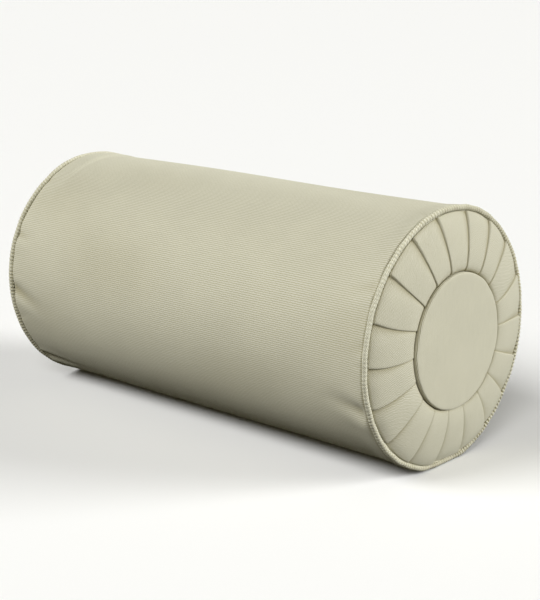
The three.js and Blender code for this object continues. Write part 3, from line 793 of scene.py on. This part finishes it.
def bar_tack(name, middle_x):
    """A dense row of threads across the end of the window."""
    half = WINDOW / 2 + TACK_OVERHANG
    across = np.linspace(-half, half, TACK_THREADS * 6 + 1)[:, None]
    along = np.linspace(-1, 1, 9)[None, :]
    ridge = np.abs(np.sin(math.pi * TACK_THREADS * (across + half) / (2 * half)))
    ends = (1 - np.abs(across / half) ** 8) * (1 - np.abs(along) ** 4)
    out = np.sqrt(sleeve_radius ** 2 - across ** 2) - 0.2 * MM + (0.35 + 0.3 * ridge) * MM * ends
    x = middle_x + TACK_LENGTH / 2 * along + 0 * across
    cut = np.stack([across + 0 * x, x], axis=-1)
    tack = cloth_grid(name, *x.shape)
    # painted shade between the threads of the tack, carried in the attribute, which the thread's material
    # does not read
    lay(tack, *grid_index(tack, *x.shape), on_zip(x, out, across), cut, 0.5 * (1 - ridge))
    finish_with(tack, "SOLIDIFY", thickness=TACK_HEIGHT, offset=-1)
    in_edit_mode(tack, face_out)
    smooth(tack)
    return tack


# Spun polyester thread: matt, twisted, a shade paler than the canvas.
thread_polyester, thread_shader = new_material("spun_polyester_thread")
thread_uv = add(thread_polyester, "UVMap")["UV"]
thread_twist = add(thread_polyester, "TexWave", {"bands_direction": "DIAGONAL"}, Vector=thread_uv,
                   Scale=60.0, Distortion=0.6)["Fac"]
thread_tone = add(thread_polyester, "Mix", {"data_type": "RGBA"}, i0=thread_twist, i6=srgb("#b7b498"),
                  i7=srgb("#dedcc9"))[2]
link(thread_polyester, thread_tone, thread_shader.inputs["Base Color"])
thread_bump = add(thread_polyester, "Bump", Height=thread_twist, Strength=0.5, Distance=0.08 * MM)["Normal"]
link(thread_polyester, thread_bump, thread_shader.inputs["Normal"])
thread_shader.inputs["Roughness"].default_value = 0.7
stitching = [
    topstitch("topstitching_upper", 1),
    topstitch("topstitching_lower", -1),
    bar_tack("bar_tack_right", WINDOW_END + WINDOW_CLOSES / 2),
    bar_tack("bar_tack_left", -WINDOW_END - WINDOW_CLOSES / 2),
]
for piece in stitching:
    piece.data.materials.append(thread_polyester)
    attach(piece, "cover")


# ---------------------------------------------------------------- zip
# A nylon coil zip: two woven tapes sewn under the folded edges, a coil of thick monofilament along
# each, and a cast slider with a hinged pull. It opens the cover so that the insert comes out.
COIL_PITCH = 1.45 * MM
COIL_WIDTH = 2 * MM
COIL_HEIGHT = 0.84 * MM
COIL_MIDDLE = 1.05 * MM  # out from the line where the two coils meet
COIL_DEPTH = 0.25 * MM  # below the outside of the sleeve
FILAMENT = 0.62 * MM
TAPE_TWILL = 1.1 * MM  # one rib of the herringbone, drawn coarse enough to show
TAPE_STRIPE = 2.6 * MM


def zip_coil(name, node, side):
    """One turn of flattened monofilament, repeated along the tape, half a pitch off its partner."""
    low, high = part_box(node)
    t = np.linspace(0, 1, 9)
    x = low[0] + COIL_PITCH * (t + (0.5 if side > 0 else 0))
    out = sleeve_radius - COIL_DEPTH + COIL_HEIGHT / 2 * np.sin(2 * math.pi * t)
    out[0] -= 0.01 * MM
    out[-1] += 0.01 * MM
    across = side * (COIL_MIDDLE - COIL_WIDTH / 2 * np.cos(2 * math.pi * t))
    coil = one_thread(name, x, out, across, FILAMENT, sides=5)
    turns = int((high[0] - low[0] - FILAMENT) / COIL_PITCH) - 1
    finish_with(coil, "ARRAY", count=turns, use_relative_offset=False, use_constant_offset=True,
                constant_offset_displace=(COIL_PITCH, 0, 0), use_merge_vertices=True,
                merge_threshold=0.2 * MM)
    in_edit_mode(coil, close_ends)
    in_edit_mode(coil, face_out)
    smooth(coil)
    return coil


# Nylon monofilament: drawn smooth and a little glassy, dyed close to the cloth.
monofilament, filament_shader = new_material("nylon_monofilament")
filament_place = add(monofilament, "TexCoord")["Object"]
filament_noise = add(monofilament, "TexNoise", Vector=filament_place, Scale=420.0, Detail=2.0)["Fac"]
filament_tone = add(monofilament, "Mix", {"data_type": "RGBA"}, i0=filament_noise, i6=srgb("#b3af92"),
                    i7=srgb("#cfccb4"))[2]
link(monofilament, filament_tone, filament_shader.inputs["Base Color"])
filament_gloss = add(monofilament, "MapRange", Value=filament_noise, To_Min=0.3, To_Max=0.45)["Result"]
link(monofilament, filament_gloss, filament_shader.inputs["Roughness"])
filament_shader.inputs["IOR"].default_value = 1.53
for row, side in (("upper", 1), ("lower", -1)):
    coil = zip_coil(f"zip_coil_{row}_filament", f"zip_coil_{row}", side)
    coil.data.materials.append(monofilament)
    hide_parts(f"zip_coil_{row}")
    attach(coil, "cover")


# Polyester herringbone tape: narrow stripes of twill that lean one way and then the other.
herringbone, tape_shader = new_material("polyester_herringbone_tape")
tape_place = add(herringbone, "TexCoord")["Object"]
tape_place = add(herringbone, "Mapping", Vector=tape_place, Rotation=(-ZIP_ANGLE, 0, 0))["Vector"]
tape_split = add(herringbone, "SeparateXYZ", i0=tape_place)
tape_lean = add(herringbone, "Math", {"operation": "PINGPONG"}, i0=tape_split["Z"],
                i1=TAPE_STRIPE)["Value"]
tape_rib = add(herringbone, "Math", {"operation": "ADD"}, i0=tape_split["X"], i1=tape_lean)["Value"]
tape_rib = add(herringbone, "Math", {"operation": "MULTIPLY"}, i0=tape_rib,
               i1=math.pi / TAPE_TWILL)["Value"]
tape_rib = add(herringbone, "Math", {"operation": "SINE"}, i0=tape_rib)["Value"]
tape_rib = add(herringbone, "Math", {"operation": "ABSOLUTE"}, i0=tape_rib)["Value"]
tape_tone = add(herringbone, "Mix", {"data_type": "RGBA"}, i0=tape_rib, i6=srgb("#9c9877"),
                i7=srgb("#c6c3a9"))[2]
link(herringbone, tape_tone, tape_shader.inputs["Base Color"])
tape_bump = add(herringbone, "Bump", Height=tape_rib, Strength=0.6, Distance=0.15 * MM)["Normal"]
link(herringbone, tape_bump, tape_shader.inputs["Normal"])
tape_shader.inputs["Roughness"].default_value = 0.75


def dress(node, material):
    """Gives a CAD node that stays in view its own finish."""
    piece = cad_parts[node]
    piece.data.materials.clear()
    piece.data.materials.append(material)


for row in ("upper", "lower"):
    dress(f"zip_tape_{row}", herringbone)


SLIDER_HALF_WIDTH = 4 * MM
SLIDER_CORNER = 0.7 * MM
PANEL_BORDER = 0.75 * MM
PANEL_DEPTH = 0.18 * MM
CLOSE_BY = 0.05 * MM
PARALLEL = 0.99  # the least cosine of two directions that count as the same
zip_outward = Vector((0, math.cos(ZIP_ANGLE), math.sin(ZIP_ANGLE)))
zip_upward = Vector((0, -math.sin(ZIP_ANGLE), math.cos(ZIP_ANGLE)))


def round_corners(slider):
    """Rounds the upright corners of the slider's two plates."""
    low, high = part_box("zip_slider")
    in_edit_mode(slider, lambda: bpy.ops.mesh.select_all(action="DESELECT"))
    for edge in slider.data.edges:
        a, b = (slider.data.vertices[i].co for i in edge.vertices)
        upright = abs((b - a).normalized().dot(zip_outward)) > PARALLEL
        off_middle = abs((a - Vector((0, 0, axis_height))).dot(zip_upward))
        at_side = off_middle > SLIDER_HALF_WIDTH - CLOSE_BY
        at_end = min(abs(a.x - low[0]), abs(a.x - high[0])) < CLOSE_BY
        edge.select = upright and at_side and at_end
    bpy.ops.object.mode_set(mode="EDIT")
    bpy.ops.mesh.bevel(offset=SLIDER_CORNER, segments=4)
    bpy.ops.object.mode_set(mode="OBJECT")


def stamp_panel(pull):
    """Sinks a shallow panel into each face of the pull."""
    in_edit_mode(pull, lambda: bpy.ops.mesh.select_all(action="DESELECT"))
    for face in pull.data.polygons:
        face.select = abs(face.normal.dot(zip_outward)) > PARALLEL
    bpy.ops.object.mode_set(mode="EDIT")
    bpy.ops.mesh.select_mode(type="FACE")
    bpy.ops.mesh.inset(thickness=PANEL_BORDER, depth=-PANEL_DEPTH)
    bpy.ops.mesh.select_mode(type="VERT")
    bpy.ops.object.mode_set(mode="OBJECT")


def softened(node, name, edge, shaped):
    """A copy of a small metal piece, shaped further if need be, with edges rounded by tumbling."""
    piece = bpy.data.objects.new(name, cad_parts[node].data.copy())
    piece.data.materials.clear()
    bpy.context.scene.collection.objects.link(piece)
    in_edit_mode(piece, lambda: bpy.ops.mesh.remove_doubles(threshold=2e-6),
                 lambda: bpy.ops.mesh.dissolve_limited(angle_limit=math.radians(2)))
    if shaped:
        shaped(piece)
    finish_with(piece, "BEVEL", width=edge, segments=3, limit_method="ANGLE",
                angle_limit=math.radians(30))
    smooth(piece)
    deselect()
    piece.select_set(True)
    bpy.context.view_layer.objects.active = piece
    bpy.ops.object.shade_smooth_by_angle(angle=math.radians(35))
    return piece


# Nickel-plated zinc: cast, tumbled and plated, a warm grey metal with fine handling marks.
nickel, nickel_shader = new_material("nickel_plated_zinc")
nickel_place = add(nickel, "TexCoord")["Object"]
nickel_marks = add(nickel, "TexNoise", Vector=nickel_place, Scale=900.0, Detail=4.0)["Fac"]
nickel_tone = add(nickel, "Mix", {"data_type": "RGBA"}, i0=nickel_marks, i6=srgb("#9b968a"),
                  i7=srgb("#c4c0b4"))[2]
link(nickel, nickel_tone, nickel_shader.inputs["Base Color"])
nickel_gloss = add(nickel, "MapRange", Value=nickel_marks, To_Min=0.24, To_Max=0.42)["Result"]
link(nickel, nickel_gloss, nickel_shader.inputs["Roughness"])
nickel_shader.inputs["Metallic"].default_value = 1
nickel_bump = add(nickel, "Bump", Height=nickel_marks, Strength=0.15, Distance=0.05 * MM)["Normal"]
link(nickel, nickel_bump, nickel_shader.inputs["Normal"])
for node, how_made, body, edge, shaped in (
    ("zip_slider", "cast", "zip_slider", 0.18 * MM, round_corners),
    ("zip_pull", "stamped", "zip_pull", 0.22 * MM, stamp_panel),
    ("zip_bottom_stop", "crimped", "cover", 0.3 * MM, None),
    ("zip_top_stop_upper", "crimped", "cover", 0.3 * MM, None),
    ("zip_top_stop_lower", "crimped", "cover", 0.3 * MM, None),
):
    piece = softened(node, f"{node}_{how_made}", edge, shaped)
    piece.data.materials.append(nickel)
    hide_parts(node)
    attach(piece, body)


# ---------------------------------------------------------------- piping cords
# A cord of three twisted cotton strands fills each piping strip and gives the edge its round.
# The bleached cotton is soft and matt, with shade painted a little darker down between the strands.
CORD_LAY = 7 * MM  # one turn of the twist
CORD_STRAND = 2.5 * MM
cotton_cord, cord_shader = new_material("three_strand_cotton_cord")
cord_place = add(cotton_cord, "TexCoord")["Object"]
cord_place = add(cotton_cord, "VectorMath", {"operation": "SUBTRACT"}, i0=cord_place,
                 i1=(0, 0, axis_height))["Vector"]
cord_split = add(cotton_cord, "SeparateXYZ", i0=cord_place)
cord_turn = add(cotton_cord, "Math", {"operation": "ARCTAN2"}, i0=cord_split["Z"],
                i1=cord_split["Y"])["Value"]
cord_twist = add(cotton_cord, "Math", {"operation": "MULTIPLY"}, i0=cord_turn,
                 i1=3 * round(2 * math.pi * rim_radius / CORD_LAY) / 2)["Value"]
cord_across = add(cotton_cord, "Math", {"operation": "MULTIPLY"}, i0=cord_split["X"],
                  i1=math.pi / CORD_STRAND)["Value"]
cord_twist = add(cotton_cord, "Math", {"operation": "ADD"}, i0=cord_twist, i1=cord_across)["Value"]
cord_strand = add(cotton_cord, "Math", {"operation": "SINE"}, i0=cord_twist)["Value"]
cord_strand = add(cotton_cord, "Math", {"operation": "ABSOLUTE"}, i0=cord_strand)["Value"]
# painted shade: the colour darkens down between the strands
cord_tone_with_painted_shade = add(cotton_cord, "Mix", {"data_type": "RGBA"}, i0=cord_strand, i6=srgb("#bdb59c"),
                i7=srgb("#efeadb"))[2]
link(cotton_cord, cord_tone_with_painted_shade, cord_shader.inputs["Base Color"])
cord_bump = add(cotton_cord, "Bump", Height=cord_strand, Strength=0.8, Distance=0.4 * MM)["Normal"]
link(cotton_cord, cord_bump, cord_shader.inputs["Normal"])
cord_shader.inputs["Roughness"].default_value = 0.95
for side, _ in ENDS:
    dress(f"piping_cord_{side}", cotton_cord)


# ---------------------------------------------------------------- inside the discs and the insert
# Under each disc's canvas lie wadding, a stiff former, the backing board and waxed twine. The
# insert is a calico case filled with polyester fibre. None of it shows while the cover is closed.
def fibrous_material(name, pale, deep, fibre, roughness, relief):
    """A matt material of tangled fibres: fibre is the size of its tufts and relief their height."""
    made, shader = new_material(name)
    place = add(made, "TexCoord")["Object"]
    tufts = add(made, "TexNoise", Vector=place, Scale=1 / fibre, Detail=5.0, Distortion=0.8)["Fac"]
    tone = add(made, "Mix", {"data_type": "RGBA"}, i0=tufts, i6=srgb(deep), i7=srgb(pale))[2]
    link(made, tone, shader.inputs["Base Color"])
    bump = add(made, "Bump", Height=tufts, Strength=0.6, Distance=relief)["Normal"]
    link(made, bump, shader.inputs["Normal"])
    shader.inputs["Roughness"].default_value = roughness
    return made


# Polyester wadding: white, springy and cloudy. Hollow-fibre filling: the same in larger tufts.
wadding = fibrous_material("polyester_wadding", pale="#f5f3ec", deep="#dcd8cc", fibre=3 * MM,
                           roughness=0.98, relief=0.8 * MM)
filling = fibrous_material("hollow_fibre_filling", pale="#f7f6f1", deep="#d9d6cd", fibre=9 * MM,
                           roughness=0.98, relief=2 * MM)
# Grey fibreboard: pressed paper pulp, flat and faintly flecked.
fibreboard = fibrous_material("pressed_fibreboard", pale="#9a8f7c", deep="#7c705e", fibre=0.8 * MM,
                              roughness=0.9, relief=0.08 * MM)
# Waxed linen twine: brown, tightly laid, a dull shine from the wax.
linen_twine = fibrous_material("waxed_linen_twine", pale="#b89f74", deep="#8f764c", fibre=0.5 * MM,
                               roughness=0.55, relief=0.1 * MM)

# Unbleached calico: plain weave, thin and creamy, with darker specks of seed.
THREAD_SPACING = 1.2 * MM  # drawn coarser than the real 0.5 mm, so that it shows
calico, calico_shader = new_material("unbleached_calico")
calico_place = add(calico, "TexCoord")["Object"]
calico_split = add(calico, "SeparateXYZ", i0=calico_place)
calico_warp = add(calico, "Math", {"operation": "MULTIPLY"}, i0=calico_split["X"],
                  i1=math.pi / THREAD_SPACING)["Value"]
calico_warp = add(calico, "Math", {"operation": "SINE"}, i0=calico_warp)["Value"]
calico_weft = add(calico, "Math", {"operation": "MULTIPLY"}, i0=calico_split["Z"],
                  i1=math.pi / THREAD_SPACING)["Value"]
calico_weft = add(calico, "Math", {"operation": "SINE"}, i0=calico_weft)["Value"]
calico_weave = add(calico, "Math", {"operation": "MULTIPLY"}, i0=calico_warp,
                   i1=calico_weft)["Value"]
calico_specks = add(calico, "TexNoise", Vector=calico_place, Scale=700.0, Detail=3.0)["Fac"]
calico_clear = add(calico, "MapRange", Value=calico_specks, From_Min=0.3, From_Max=0.42)["Result"]
calico_tone = add(calico, "Mix", {"data_type": "RGBA"}, i0=calico_clear, i6=srgb("#b7a985"),
                  i7=srgb("#e9e2cd"))[2]
link(calico, calico_tone, calico_shader.inputs["Base Color"])
calico_bump = add(calico, "Bump", Height=calico_weave, Strength=0.4, Distance=0.1 * MM)["Normal"]
link(calico, calico_bump, calico_shader.inputs["Normal"])
calico_shader.inputs["Roughness"].default_value = 0.92

for side, _ in ENDS:
    dress(f"disc_pad_{side}", wadding)
    dress(f"disc_former_{side}", fibreboard)
    dress(f"disc_backing_{side}", fibreboard)
    dress(f"disc_twine_{side}", linen_twine)
    dress(f"insert_casing_end_{side}", calico)
dress("insert_casing_tube", calico)
dress("insert_filling", filling)
